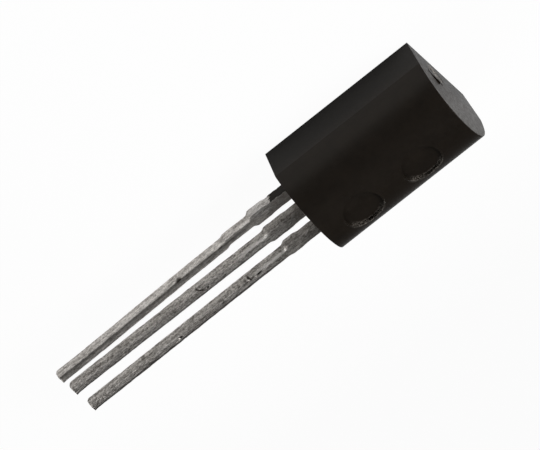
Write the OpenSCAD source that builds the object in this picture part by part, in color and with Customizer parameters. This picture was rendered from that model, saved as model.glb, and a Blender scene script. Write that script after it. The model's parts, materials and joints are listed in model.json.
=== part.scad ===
// Long-body TO-92 transistor: a D-section moulded case, three flat tinned leads,
// and the die, the die attach and the bond wires that the case seals in.
//
// Units are millimetres. The part lies on its moulded flat: the flat is at Z = 0, the
// round side is up, +X runs along the leads to their tips, and Y runs across them.
// The origin is the centre of the flat.

/* [Case] */
// Length of the case along the leads, at the parting line
case_length = 7.08; // [5.8:0.02:8.6]
// Width of the case at the parting line
case_width = 4.68; // [4.3:0.02:5.7]
// Height of the case from the flat to the crown of the round side
case_height = 3.5; // [2.9:0.05:4.2]
// How far each side slopes in from the parting line to the edge of the flat
side_slope = 0.21; // [0.05:0.01:0.4]
// Height of the parting line and of the middle of the leadframe above the flat
parting_height = 1.45; // [1.3:0.05:1.8]
// How far the flat side's edge stands proud of the round side at the parting line
parting_step = 0.01; // [0.01:0.005:0.04]
// Draft of the end faces on both sides of the parting line, in degrees
end_draft = 2; // [0:0.5:5]

/* [Ejector pin marks] */
// Diameter of each mark on the crown
ejector_diameter = 1.66; // [1.2:0.02:2]
// Depth of each mark below the crown, whose curve its floor follows
ejector_depth = 0.09; // [0.03:0.01:0.3]
// Distance from the plain end to the middle of the first mark
first_mark_inset = 2.37; // [1.2:0.01:2.9]
// Distance from the lead end to the middle of the second mark
second_mark_inset = 1.85; // [1.2:0.01:2.4]

/* [Gate mark on the plain end] */
// Length of the slit that the broken gate left
gate_length = 0.7; // [0.2:0.05:1]
// Width of the slit
gate_width = 0.07; // [0.04:0.01:0.2]
// Depth of the slit and of the pit beside it
gate_depth = 0.1; // [0.03:0.01:0.2]
// Diameter of the pit where the slit meets the parting line
gate_pit_diameter = 0.15; // [0.08:0.01:0.3]
// Distance of the pit from the middle of the case
gate_offset = 0.76; // [0.2:0.02:1.3]
// Angle from the parting line to the slit, in degrees
gate_angle = 24; // [0:1:45]

/* [Leads outside the case] */
// Distance between neighbouring leads
lead_pitch = 1.27; // [1.05:0.01:1.6]
// Length of each lead outside the case
lead_length = 11.56; // [9:0.02:14.5]
// Width of a lead below its shoulders
lead_width = 0.42; // [0.35:0.01:0.55]
// Thickness of the leadframe
lead_thickness = 0.35; // [0.28:0.01:0.45]
// Width of a lead where it leaves the case
neck_width = 0.62; // [0.5:0.01:0.8]
// How much narrower the emitter lead is there
emitter_neck_relief = 0.06; // [0:0.01:0.1]
// Width that the cut dam bar adds to a lead
dam_bar_extra = 0.06; // [0:0.01:0.12]
// Distance from the case to the cut dam bar
dam_bar_start = 1.04; // [0.8:0.02:2]
// Length of the cut dam bar along the lead
dam_bar_length = 0.78; // [0.4:0.02:1]
// Length of the slope at the dam bar's upper end
dam_bar_lead_in = 0.12; // [0.05:0.01:0.3]
// Length of the slope from the dam bar down to the narrow lead
shoulder_length = 0.16; // [0.05:0.01:0.4]
// Rounding of the leads' long edges
lead_edge_radius = 0.05; // [0.02:0.005:0.08]
// Rounding of the cut tips
tip_radius = 0.08; // [0.03:0.01:0.12]

/* [Bends in the leads] */
// Distance from the shoulder to the small kink in the base lead
kink_start = 1.07; // [0.2:0.01:4]
// Length of the kink along the lead
kink_length = 0.4; // [0.1:0.05:1]
// Sideways step of the kink
kink_step = 0.06; // [0:0.01:0.15]
// Sideways lean of the base lead, from the kink to its tip
base_lean = 0.2; // [-0.3:0.01:0.3]
// Sideways lean of the emitter lead, from its shoulder to its tip
emitter_lean = 0.06; // [-0.3:0.01:0.3]

/* [Leadframe inside the case] */
// Moulding compound between the plain end and the die pad
pad_cover = 1.3; // [1:0.05:1.8]
// Width of the die pad on the collector lead
pad_width = 2.3; // [1.5:0.05:3]
// Distance from the die pad to the bond posts beside the collector
pad_to_post = 0.45; // [0.3:0.05:0.8]
// Length of each bond post along the lead
post_length = 0.9; // [0.6:0.05:1.2]
// Width of each bond post
post_width = 0.84; // [0.7:0.02:1]
// Moulding compound between the bond posts and the lead end
post_cover = 1.35; // [1:0.05:1.6]
// Length of the slopes from a pad or a post to the lead's neck
neck_slope = 0.2; // [0.1:0.05:0.4]

/* [Die and bond wires] */
// Side of the square die
die_size = 1.05; // [0.6:0.05:1.3]
// Thickness of the die
die_thickness = 0.22; // [0.15:0.01:0.3]
// Thickness of the die attach
attach_thickness = 0.03; // [0.02:0.005:0.06]
// Distance that the die attach shows around the die
attach_fillet = 0.05; // [0:0.01:0.1]
// Diameter of each bond wire
wire_diameter = 0.05; // [0.03:0.005:0.08]
// Height of each wire's loop from the die's face towards the flat
wire_loop = 0.3; // [0.2:0.02:0.4]
// Distance between a wire's bond on the die and the middle of the die
wire_bond_offset = 0.28; // [0.15:0.01:0.4]

/* [Hidden] */
$fn = 96;

// The case's section. The round side is one arc, from just inside the parting line on
// one side to just inside it on the other.
half_width = case_width / 2;
flat_half_width = half_width - side_slope;
crown_rise = case_height - parting_height;
crown_half_chord = half_width - parting_step;
crown_radius = (pow(crown_half_chord, 2) + pow(crown_rise, 2)) / (2 * crown_rise);
crown_centre_z = case_height - crown_radius;

// Places along the case.
plain_end_x = -case_length / 2;
lead_end_x = case_length / 2;
crown_end_step = crown_rise * tan(end_draft);
flat_end_step = parting_height * tan(end_draft);

// Places along the leadframe.
post_end_x = lead_end_x - post_cover;
post_start_x = post_end_x - post_length;
pad_end_x = post_start_x - pad_to_post;
pad_start_x = plain_end_x + pad_cover;
dam_bar_x = lead_end_x + dam_bar_start;
shoulder_x = dam_bar_x + dam_bar_length;
narrow_x = shoulder_x + shoulder_length;
tip_x = lead_end_x + lead_length;
kink_x = narrow_x + kink_start;

// The die hangs from the face of the pad that looks at the flat.
frame_face_z = parting_height - lead_thickness / 2;
die_back_z = frame_face_z - attach_thickness;
die_face_z = die_back_z - die_thickness;
die_x = (pad_start_x + pad_end_x) / 2;
attach_size = die_size + 2 * attach_fillet;
emitter_neck = neck_width - emitter_neck_relief;

// Steps of the curved outlines.
EDGE_STEPS = 3;     // steps in the round edge of a lead
WIRE_SIDES = 8;     // sides of a bond wire
WIRE_STEPS = 12;    // lengths that a bond wire's loop is made of
CUT_OVERLAP = 0.2;  // how far a cutting shape stands out of the case

COMPOUND_COLOR = [0.09, 0.08, 0.07];
TIN_COLOR = [0.62, 0.61, 0.6];
SILICON_COLOR = [0.35, 0.37, 0.42];
SOLDER_COLOR = [0.55, 0.55, 0.52];
GOLD_COLOR = [0.85, 0.65, 0.3];

// ---- Shapes that repeat ----

// A closed solid through rings of points. Each ring runs anticlockwise when it is seen
// from the end that the rings run to.
module skin(rings) {
    count = len(rings);
    n = len(rings[0]);
    walls = [for (i = [0 : count - 2]) for (j = [0 : n - 1])
        [i * n + j, (i + 1) * n + j, (i + 1) * n + (j + 1) % n, i * n + (j + 1) % n]];
    start_face = [for (j = [0 : n - 1]) j];
    end_face = [for (j = [n - 1 : -1 : 0]) (count - 1) * n + j];
    polyhedron(points = [for (ring = rings) each ring],
               faces = concat([start_face, end_face], walls));
}

// One section of a lead at x: a rectangle with round corners, its middle at y.
function lead_ring(x, y, width, inset = 0) = [
    for (quarter = [0 : 3]) for (step = [0 : EDGE_STEPS])
        let (angle = 90 * (quarter + step / EDGE_STEPS),
             side = (quarter == 0 || quarter == 3) ? 1 : -1,
             up = quarter < 2 ? 1 : -1,
             across = width / 2 - lead_edge_radius,
             high = lead_thickness / 2 - lead_edge_radius,
             round_edge = lead_edge_radius - inset)
        [x, y + side * across + round_edge * cos(angle),
         parting_height + up * high + round_edge * sin(angle)]];

// The rings of a lead whose middle follows path(x), from widths [[x, width], ...].
function lead_rings(widths, path) = [
    for (w = widths) lead_ring(w[0], lookup(w[0], path), w[1])];

// The rounded tip: the sections shrink along a quarter circle, as far as the edge allows.
function tip_rings(path) =
    let (inset = min(tip_radius, lead_edge_radius) * 0.9)
    [for (step = [0 : EDGE_STEPS])
        let (angle = 90 * step / EDGE_STEPS, x = tip_x - tip_radius * (1 - sin(angle)))
        lead_ring(x, lookup(x, path), lead_width, inset * (1 - cos(angle)))];

// Widths of a lead from the case to its narrow stretch.
function outer_widths(neck) = [
    [lead_end_x, neck],
    [dam_bar_x, neck],
    [dam_bar_x + dam_bar_lead_in, neck + dam_bar_extra],
    [shoulder_x, neck + dam_bar_extra],
    [narrow_x, lead_width]];

// Widths of an outer lead's bond post, and of the die pad on the middle lead.
post_widths = [[post_start_x, post_width], [post_end_x, post_width]];
pad_widths = [[pad_start_x, pad_width], [pad_end_x, pad_width]];

// Sharp-edged, flat stretch of a lead inside the case, on the line y. past carries it on
// beyond the end of the case.
module inner_lead(widths, neck, y, past = 0) {
    wide_end = widths[len(widths) - 1][0];
    all = concat(widths, [[wide_end + neck_slope, neck], [lead_end_x + past, neck]]);
    one_edge = [for (w = all) [w[0], y + w[1] / 2]];
    other_edge = [for (i = [len(all) - 1 : -1 : 0]) [all[i][0], y - all[i][1] / 2]];
    translate([0, 0, frame_face_z])
        linear_extrude(lead_thickness) polygon(concat(one_edge, other_edge));
}

// Round-edged stretch of a lead outside the case.
module outer_lead(widths, path) {
    skin(concat(lead_rings(widths, path), tip_rings(path)));
}

// A bond wire from a point on the die's face to a point on a post's face. The loop is
// half an ellipse, so that both ends stand square on what they are bonded to. past
// carries both ends on into the metal.
function wire_rings(from, to, past) =
    let (run = to - from, level = [run[1], -run[0], 0] / norm([run[0], run[1]]),
         loop = [for (step = [0 : WIRE_STEPS])
             let (angle = 180 * step / WIRE_STEPS,
                  slope = run * sin(angle) / 2 - [0, 0, wire_loop * cos(angle)])
             [from + run * (1 - cos(angle)) / 2 - [0, 0, wire_loop * sin(angle)],
              step == 0 ? [0, 0, -1] : step == WIRE_STEPS ? [0, 0, 1]
                                     : slope / norm(slope)]],
         first = [[from + [0, 0, past], [0, 0, -1]]],
         last = [[to + [0, 0, past], [0, 0, 1]]])
    [for (place = past > 0 ? concat(first, loop, last) : loop)
        [for (side = [0 : WIRE_SIDES - 1])
            let (turn = 360 * side / WIRE_SIDES, normal = cross(level, place[1]))
            place[0] + wire_diameter / 2 * (cos(turn) * normal + sin(turn) * level)]];

// ---- The leads' paths ----

collector_path = [[plain_end_x, 0], [tip_x, 0]];
emitter_path = [[narrow_x, lead_pitch], [tip_x, lead_pitch + emitter_lean]];
base_path = [[kink_x, -lead_pitch],
             [kink_x + kink_length, -lead_pitch + kink_step],
             [tip_x, -lead_pitch + kink_step + base_lean]];
// The kink's two ends, which need a section each.
kink_widths = [[kink_x, lead_width], [kink_x + kink_length, lead_width]];

// ---- Sub-parts ----

// The case's section along X, from the plain end to the lead end.
module case_section() {
    polygon([[-flat_half_width, 0], [flat_half_width, 0],
             [half_width, parting_height], [-half_width, parting_height]]);
    intersection() {
        translate([0, crown_centre_z]) circle(r = crown_radius);
        translate([-case_width, parting_height]) square([2 * case_width, crown_rise]);
    }
}

// The case seen from the side: its ends slope back from the parting line.
module case_side() {
    polygon([[plain_end_x, parting_height], [plain_end_x + flat_end_step, 0],
             [lead_end_x - flat_end_step, 0], [lead_end_x, parting_height],
             [lead_end_x - crown_end_step, case_height],
             [plain_end_x + crown_end_step, case_height]]);
}

module case_blank() {
    intersection() {
        translate([plain_end_x, 0, 0]) rotate([90, 0, 90])
            linear_extrude(case_length) case_section();
        translate([0, case_width, 0]) rotate([90, 0, 0])
            linear_extrude(2 * case_width) case_side();
    }
}

// Round pins whose faces are as curved as the crown.
module ejector_marks() {
    difference() {
        for (x = [plain_end_x + first_mark_inset, lead_end_x - second_mark_inset])
            translate([x, 0, crown_centre_z])
                cylinder(d = ejector_diameter, h = crown_radius + CUT_OVERLAP);
        translate([plain_end_x, 0, crown_centre_z]) rotate([0, 90, 0])
            cylinder(r = crown_radius - ejector_depth, h = case_length);
    }
}

// The slit and its pit, seen from the plain end.
module gate_mark() {
    translate([plain_end_x - CUT_OVERLAP, -gate_offset, parting_height]) {
        rotate([0, 90, 0]) cylinder(d = gate_pit_diameter, h = gate_depth + CUT_OVERLAP);
        rotate([gate_angle, 0, 0]) translate([0, -gate_length, -gate_width / 2])
            cube([gate_depth / 2 + CUT_OVERLAP, gate_length, gate_width]);
    }
}

// What the case is moulded round. Each shape runs on into its neighbour, so that the
// cavity has no skins between them.
module sealed_space() {
    inner_lead(post_widths, emitter_neck, lead_pitch, CUT_OVERLAP);
    inner_lead(pad_widths, neck_width, 0, CUT_OVERLAP);
    inner_lead(post_widths, neck_width, -lead_pitch, CUT_OVERLAP);
    die_block(die_size, die_face_z, frame_face_z + lead_thickness / 2);
    die_block(attach_size, die_back_z, frame_face_z + lead_thickness / 2);
    bond_wire(1, wire_diameter);
    bond_wire(-1, wire_diameter);
}

module case() {
    color(COMPOUND_COLOR) difference() {
        case_blank();
        ejector_marks();
        gate_mark();
        sealed_space();
    }
}

module lead_emitter() {
    color(TIN_COLOR) {
        inner_lead(post_widths, emitter_neck, lead_pitch);
        outer_lead(outer_widths(emitter_neck), emitter_path);
    }
}

// The middle lead, with the pad that carries the die.
module lead_collector() {
    color(TIN_COLOR) {
        inner_lead(pad_widths, neck_width, 0);
        outer_lead(outer_widths(neck_width), collector_path);
    }
}

module lead_base() {
    color(TIN_COLOR) {
        inner_lead(post_widths, neck_width, -lead_pitch);
        outer_lead(concat(outer_widths(neck_width), kink_widths), base_path);
    }
}

// A square block at the die's place, from one height to another.
module die_block(side, from_z, to_z) {
    translate([die_x - side / 2, -side / 2, from_z]) cube([side, side, to_z - from_z]);
}

module die() {
    color(SILICON_COLOR) die_block(die_size, die_face_z, die_back_z);
}

module die_attach() {
    color(SOLDER_COLOR) die_block(attach_size, die_back_z, frame_face_z);
}

// side is 1 for the emitter's wire and -1 for the base's.
module bond_wire(side, past = 0) {
    from = [die_x + die_size / 4, side * wire_bond_offset, die_face_z];
    to = [(post_start_x + post_end_x) / 2, side * lead_pitch, frame_face_z];
    color(GOLD_COLOR) skin(wire_rings(from, to, past));
}

module bond_wire_emitter() { bond_wire(1); }

module bond_wire_base() { bond_wire(-1); }

case();
lead_emitter();
lead_collector();
lead_base();
die();
die_attach();
bond_wire_emitter();
bond_wire_base();
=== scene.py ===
# %% [markdown]
# # A long-body TO-92 transistor
#
# The real part is a black moulded case round a stamped leadframe. Three flat, tinned
# leads leave one end of the case in a row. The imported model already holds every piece
# at its real size. This script models the case and the leads again with the small
# things that a mould and a press leave behind, and gives every piece its finish.

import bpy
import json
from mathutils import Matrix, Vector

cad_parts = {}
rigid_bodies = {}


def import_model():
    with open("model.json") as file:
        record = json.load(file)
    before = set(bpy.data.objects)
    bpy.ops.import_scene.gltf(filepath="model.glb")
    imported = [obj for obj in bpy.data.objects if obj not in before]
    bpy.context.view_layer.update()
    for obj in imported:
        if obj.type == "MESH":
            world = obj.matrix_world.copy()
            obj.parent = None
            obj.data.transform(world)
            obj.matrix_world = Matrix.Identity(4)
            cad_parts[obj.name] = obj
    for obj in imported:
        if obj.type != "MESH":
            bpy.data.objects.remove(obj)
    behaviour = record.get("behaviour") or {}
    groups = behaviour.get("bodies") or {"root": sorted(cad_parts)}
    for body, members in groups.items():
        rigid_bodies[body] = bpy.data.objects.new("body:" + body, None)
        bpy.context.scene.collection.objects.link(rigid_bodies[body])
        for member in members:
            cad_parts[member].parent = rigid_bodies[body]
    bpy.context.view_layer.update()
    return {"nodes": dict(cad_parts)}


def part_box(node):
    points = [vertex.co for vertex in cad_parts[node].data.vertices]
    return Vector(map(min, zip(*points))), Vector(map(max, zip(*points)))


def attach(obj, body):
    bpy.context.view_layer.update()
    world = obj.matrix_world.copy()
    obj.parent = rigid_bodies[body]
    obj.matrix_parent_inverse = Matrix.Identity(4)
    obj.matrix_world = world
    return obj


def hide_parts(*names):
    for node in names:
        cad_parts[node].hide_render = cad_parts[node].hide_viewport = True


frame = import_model()
print("nodes:", sorted(frame["nodes"]))

# %% [markdown]
# ## Working size
#
# The part is under 19 mm long, and many of Blender's tools snap or merge points that
# lie within a tenth of a millimetre. So each piece is modelled a thousand times too large,
# with one unit for one millimetre, and is shrunk when it is finished. Sizes below are
# in millimetres.

# %% Sizes from the frame, in millimetres
import json
import math

import bmesh
import bpy
from mathutils import Matrix, Vector, noise

MM = 0.001

case_low, case_high = (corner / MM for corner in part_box("case"))
lead_low, lead_high = (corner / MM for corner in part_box("lead_collector"))

plain_end = case_low.x
lead_end = case_high.x
half_width = case_high.y
crown = case_high.z
parting = (lead_low.z + lead_high.z) / 2
lead_thickness = lead_high.z - lead_low.z
print(f"case {lead_end - plain_end:.2f} x {2 * half_width:.2f} x {crown:.2f} mm")
print(f"parting line {parting:.2f} mm up, leads {lead_thickness:.2f} mm thick")

# %% [markdown]
# ## Small helpers
#
# In edit mode an operator acts on what is selected. These helpers select faces or
# edges by their place or their direction, which is what a person does by eye.

# %% Selecting in edit mode
def only(piece):
    """Makes piece the one selected and active object."""
    bpy.ops.object.select_all(action="DESELECT")
    piece.select_set(True)
    bpy.context.view_layer.objects.active = piece


def open_mesh(piece):
    """Opens piece in edit mode."""
    only(piece)
    bpy.ops.object.mode_set(mode="EDIT")


def close_mesh():
    """Goes back to object mode."""
    bpy.ops.object.mode_set(mode="OBJECT")


def pick_faces(wanted):
    """Selects the faces for which wanted(face) is true, and says how many there are."""
    bpy.ops.mesh.select_mode(type="FACE")
    bpy.ops.mesh.select_all(action="DESELECT")
    mesh = bmesh.from_edit_mesh(bpy.context.object.data)
    chosen = [face for face in mesh.faces if wanted(face)]
    for face in chosen:
        face.select_set(True)
    bmesh.update_edit_mesh(bpy.context.object.data)
    return len(chosen)


def pick_edges(wanted):
    """Selects the edges for which wanted(edge) is true, and says how many there are."""
    bpy.ops.mesh.select_mode(type="EDGE")
    bpy.ops.mesh.select_all(action="DESELECT")
    mesh = bmesh.from_edit_mesh(bpy.context.object.data)
    mesh.normal_update()
    chosen = [edge for edge in mesh.edges if wanted(edge)]
    for edge in chosen:
        edge.select_set(True)
    bmesh.update_edit_mesh(bpy.context.object.data)
    return len(chosen)


def apply_modifier(piece, kind, **settings):
    """Adds a modifier with these settings to piece and applies it."""
    only(piece)
    modifier = piece.modifiers.new(kind.title(), kind)
    for setting, value in settings.items():
        setattr(modifier, setting, value)
    bpy.ops.object.modifier_apply(modifier=modifier.name)


def cut_or_add(piece, tool, operation):
    """Cuts tool out of piece, or adds tool to it, and removes tool."""
    apply_modifier(piece, "BOOLEAN", object=tool, operation=operation, solver="EXACT")
    bpy.data.objects.remove(tool, do_unlink=True)


# %% [markdown]
# ## The case
#
# A transfer mould makes the case in two halves that meet at the leadframe. The round
# half is part of a cylinder and the other half is a shallow trough with sloping
# sides, so a cylinder is cut off at the parting line and its cut face is drawn down
# to the flat. Both halves slope back at their ends, which lets them leave the mould.

# %% The two halves of the case
SIDE_SLOPE = 0.21      # how far each side slopes in, from the parting line to the flat
END_DRAFT = math.radians(2)
CROWN_SIDES = 176      # sides of the whole cylinder that the round half is cut from
CUT_TOLERANCE = 1e-5   # how near a cut a point counts as lying on it
MERGE_DISTANCE = 1e-4  # points nearer to each other than this become one

crown_rise = crown - parting
crown_radius = (half_width**2 + crown_rise**2) / (2 * crown_rise)
case_length = lead_end - plain_end

bpy.ops.object.select_all(action="DESELECT")
bpy.ops.mesh.primitive_cylinder_add(
    vertices=CROWN_SIDES,
    radius=crown_radius,
    depth=case_length,
    location=(0, 0, crown - crown_radius),
    rotation=(0, math.pi / 2, 0),
)
case = bpy.context.object
case.name = "moulded_case"
bpy.ops.object.transform_apply(location=True, rotation=True, scale=True)

open_mesh(case)
bpy.ops.mesh.select_all(action="SELECT")
bpy.ops.mesh.bisect(
    plane_co=(0, 0, parting),
    plane_no=(0, 0, 1),
    clear_inner=True,
    use_fill=True,
    threshold=CUT_TOLERANCE,
)
print("cut faces:", pick_faces(lambda face: face.normal.z < -0.99))
bpy.ops.mesh.extrude_region_move(TRANSFORM_OT_translate={"value": (0, 0, -parting)})
bpy.ops.transform.resize(
    value=(1, (half_width - SIDE_SLOPE) / half_width, 1), center_override=(0, 0, 0)
)

# %% [markdown]
# Each end is two planes that meet at the parting line and slope back from it by the
# draft angle. A bisect for each plane cuts away what lies beyond it and fills the cut.

# %% The sloping ends
for end_x, outward in ((plain_end, -1), (lead_end, 1)):
    for upward in (1, -1):
        bpy.ops.mesh.select_all(action="SELECT")
        bpy.ops.mesh.bisect(
            plane_co=(end_x, 0, parting),
            plane_no=(outward * math.cos(END_DRAFT), 0, upward * math.sin(END_DRAFT)),
            clear_outer=True,
            use_fill=True,
            threshold=CUT_TOLERANCE,
        )
bpy.ops.mesh.select_all(action="SELECT")
bpy.ops.mesh.remove_doubles(threshold=MERGE_DISTANCE)
bpy.ops.mesh.normals_make_consistent(inside=False)
print(f"drafted ends lean back by {math.degrees(END_DRAFT):.0f} degrees")

# %% [markdown]
# A moulded edge is never quite sharp. A narrow bevel along the rims of both ends and
# along the flat catches the light as a thin line. The parting line stays a crease.

# %% Worn mould edges
EDGE_ROUND = 0.02      # radius of the case's outer edges
CREASE = math.radians(45)

rims = pick_edges(lambda edge: len(edge.link_faces) == 2 and edge.calc_face_angle() > CREASE)
bpy.ops.mesh.bevel(offset=EDGE_ROUND, segments=3, profile=0.5, clamp_overlap=False)
print("edges rounded:", rims)
bpy.ops.mesh.select_all(action="SELECT")
bpy.ops.mesh.remove_doubles(threshold=MERGE_DISTANCE)

# %% [markdown]
# The faces of the crown still run from end to end. Small things are cut into it next,
# and on such long faces each cut would bend the shading all along the case. So the
# case is first cut into narrow rings.

# %% Rings along the case
RING_WIDTH = 0.16

ring_count = round(case_length / RING_WIDTH)
for i in range(1, ring_count):
    bpy.ops.mesh.select_all(action="SELECT")
    bpy.ops.mesh.bisect(
        plane_co=(plain_end + i * case_length / ring_count, 0, 0),
        plane_no=(1, 0, 0),
        threshold=CUT_TOLERANCE,
    )
close_mesh()
print("faces of the case:", len(case.data.polygons))

# %% [markdown]
# ## Ejector pin marks
#
# Two pins push the case out of the mould, and each leaves a shallow round mark on the
# crown. The pins' faces are curved like the crown, so a mark is equally deep all over:
# the tool that cuts it is a round pin with a cylinder hollowed out of it. Plastic
# creeps up beside the pin, so one side of the mark has a ragged raised lip, and the
# other has next to none. The lip is a circle that follows the crown: each ring of its
# profile is one extrusion. Its points are then lifted to the crown's height, and noise
# makes the lip high here and low there. It is added to the case before the mark is cut.

# %% A ragged lip that follows the crown
MARK_RADIUS = 0.83
MARK_DEPTH = 0.09      # the same all over, because the pin's face follows the crown
MARK_SIDES = 160
FIRST_MARK = plain_end + 2.37
SECOND_MARK = lead_end - 1.85
LIP_HEIGHT = 0.06
LIP_PROFILE = (  # distance beyond the pin in millimetres, and share of the lip's height
    (-0.02, -1),
    (-0.01, 0.55),
    (0.015, 1),
    (0.04, 0.75),
    (0.07, 0.35),
    (0.12, -0.3),
)


def crown_height(y):
    """How high the crown is at this Y."""
    return crown - crown_radius + math.sqrt(crown_radius**2 - y**2)


def lip_share(place, x):
    """How much of its full height the lip has here: most on the +Y side, and uneven."""
    away = Vector((place.x - x, place.y, 0)).normalized()
    side = min(1, max(0, 0.35 + 0.9 * away.y))
    slow = noise.noise(Vector((x, 0, 0)) + away * 6)
    quick = noise.noise(Vector((x, 4, 0)) + away * 21)
    ragged = 0.55 + 0.9 * slow + 1.1 * quick
    return side * max(0.05, ragged)


def mark_lip(x):
    """A closed ring round the pin at x, made by extruding a circle along the profile."""
    radii = [MARK_RADIUS + beyond for beyond, _ in LIP_PROFILE]
    bpy.ops.object.select_all(action="DESELECT")
    bpy.ops.mesh.primitive_circle_add(
        vertices=MARK_SIDES, radius=radii[0], fill_type="NOTHING", location=(x, 0, 0)
    )
    lip = bpy.context.object
    bpy.ops.object.transform_apply(location=True, rotation=True, scale=True)
    open_mesh(lip)
    bpy.ops.mesh.select_mode(type="EDGE")
    bpy.ops.mesh.select_all(action="SELECT")
    for inner, outer in zip(radii, radii[1:]):
        bpy.ops.mesh.extrude_edges_move(TRANSFORM_OT_translate={"value": (0, 0, 0)})
        grow = outer / inner
        bpy.ops.transform.resize(value=(grow, grow, 1), center_override=(x, 0, 0))
    pick_edges(lambda edge: len(edge.link_faces) == 1)
    bpy.ops.mesh.bridge_edge_loops()
    mesh = bmesh.from_edit_mesh(lip.data)
    for point in mesh.verts:
        away = math.hypot(point.co.x - x, point.co.y) - MARK_RADIUS
        _, share = min(LIP_PROFILE, key=lambda step: abs(step[0] - away))
        height = LIP_HEIGHT * (share * lip_share(point.co, x) if share > 0 else share)
        point.co.z = crown_height(point.co.y) + height
    bmesh.update_edit_mesh(lip.data)
    bpy.ops.mesh.select_all(action="SELECT")
    bpy.ops.mesh.normals_make_consistent(inside=False)
    close_mesh()
    return lip


# %% [markdown]
# Each pin is an upright cylinder, and a second cylinder, which lies along the case, is
# taken out of it. What is left of the pin cuts the mark.

# %% Both marks
PIN_HEIGHT = 2         # half of it is above the crown
HOLLOW_LENGTH = 3      # longer than the pin is wide

for x in (FIRST_MARK, SECOND_MARK):
    cut_or_add(case, mark_lip(x), "UNION")
    bpy.ops.mesh.primitive_cylinder_add(
        vertices=MARK_SIDES, radius=MARK_RADIUS, depth=PIN_HEIGHT, location=(x, 0, crown)
    )
    pin = bpy.context.object
    bpy.ops.mesh.primitive_cylinder_add(
        vertices=CROWN_SIDES,
        radius=crown_radius - MARK_DEPTH,
        depth=HOLLOW_LENGTH,
        location=(x, 0, crown - crown_radius),
        rotation=(0, math.pi / 2, 0),
    )
    cut_or_add(pin, bpy.context.object, "DIFFERENCE")
    cut_or_add(case, pin, "DIFFERENCE")
print("faces after the marks:", len(case.data.polygons))

# %% [markdown]
# ## Where the gate broke off
#
# The compound flows in through a gate at the plain end. When the part is broken off,
# a thin uneven stub of the gate stays at the parting line, aslant and highest at one
# end, with a pit beside it and a rough patch towards the flat. The tool for the rough
# patch is a flattened ball that a Displace modifier has made uneven, so the case keeps
# the print of it.

# %% Rough patch and pit
BREAK_PLACE = (-0.58, 0.8)     # Y and Z of the rough patch
BREAK_SIZE = (0.028, 0.5, 0.42)        # half its size each way
BREAK_SUNK = 0.02      # how far inside the plain end the ball's middle is
BREAK_ROUGHNESS = 0.06
PIT_RADIUS = 0.075
PIT_DEPTH = 0.1
PIT_PLACE = (-0.66, parting + 0.03)    # Y and Z of the pit

bpy.ops.object.select_all(action="DESELECT")
bpy.ops.mesh.primitive_ico_sphere_add(
    subdivisions=5, radius=1, location=(plain_end + BREAK_SUNK, *BREAK_PLACE), scale=BREAK_SIZE
)
broken = bpy.context.object
bpy.ops.object.transform_apply(location=True, rotation=True, scale=True)
rough = bpy.data.textures.new("broken_plastic", "CLOUDS")
rough.noise_scale = 0.09
rough.noise_depth = 3
apply_modifier(
    broken,
    "DISPLACE",
    texture=rough,
    texture_coords="LOCAL",
    direction="X",
    strength=BREAK_ROUGHNESS,
)
cut_or_add(case, broken, "DIFFERENCE")

bpy.ops.mesh.primitive_cylinder_add(
    vertices=24,
    radius=PIT_RADIUS,
    depth=2 * PIT_DEPTH,
    location=(plain_end, *PIT_PLACE),
    rotation=(0, math.pi / 2, 0),
)
cut_or_add(case, bpy.context.object, "DIFFERENCE")
print("faces after the rough patch and the pit:", len(case.data.polygons))

# %% [markdown]
# The stub is a subdivided block. Its outer face is moved by noise and rises from one
# end to the other, and the block is turned before it is added to the case.

# %% Stub of the gate
STUB_TOP = (-1.228, 1.488)      # Y and Z of the middle of its upper side
STUB_LENGTH = 0.68
STUB_WIDTH = 0.2
STUB_DEPTH = 0.2       # half of it is inside the case
STUB_RISE = 0.055      # how far its high end stands out
STUB_TURN = 34         # degrees from Y towards Z
STUB_WANDER = 0.03     # how far its sides stray from straight

turn = math.radians(STUB_TURN)
bpy.ops.mesh.primitive_cube_add(
    size=1, location=(0, 0, 0), scale=(STUB_DEPTH, STUB_LENGTH, STUB_WIDTH)
)
stub = bpy.context.object
bpy.ops.object.transform_apply(location=True, rotation=True, scale=True)
open_mesh(stub)
bpy.ops.mesh.select_all(action="SELECT")
bpy.ops.mesh.subdivide(number_cuts=14)
mesh = bmesh.from_edit_mesh(stub.data)
for point in mesh.verts:
    along = point.co.y / STUB_LENGTH + 0.5
    rise = STUB_RISE * min(1, 0.2 + 0.95 * along)
    lumpy = 1 + 0.35 * noise.noise(Vector((0, point.co.y * 9, point.co.z * 7)))
    if point.co.x < 0:
        point.co.x *= rise * lumpy / (STUB_DEPTH / 2)
    point.co.z += STUB_WANDER * noise.noise(Vector((0, point.co.y * 11, 3)))
    point.co.y += STUB_WANDER * noise.noise(Vector((0, 5, point.co.z * 11)))
bmesh.update_edit_mesh(stub.data)
close_mesh()
stub.location = (
    plain_end,
    STUB_TOP[0] + STUB_WIDTH / 2 * math.sin(turn),
    STUB_TOP[1] - STUB_WIDTH / 2 * math.cos(turn),
)
stub.rotation_euler = (turn, 0, 0)
bpy.ops.object.transform_apply(location=True, rotation=True, scale=True)
cut_or_add(case, stub, "UNION")
print("faces after the gate:", len(case.data.polygons))

# %% [markdown]
# ## The leads
#
# A press stamps the leadframe from flat strip. Each lead starts inside the case at a
# pad or a post, leaves the case as a neck, and is wider for a short way where the
# dam bar that joined the leads was cut. Then it steps in to its final width. The
# cross-section is drawn first, as a plane with rounded corners, and extruded from
# station to station. At each station its two sides are moved apart or together, so
# the corners keep their radius however wide the lead is.

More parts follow.
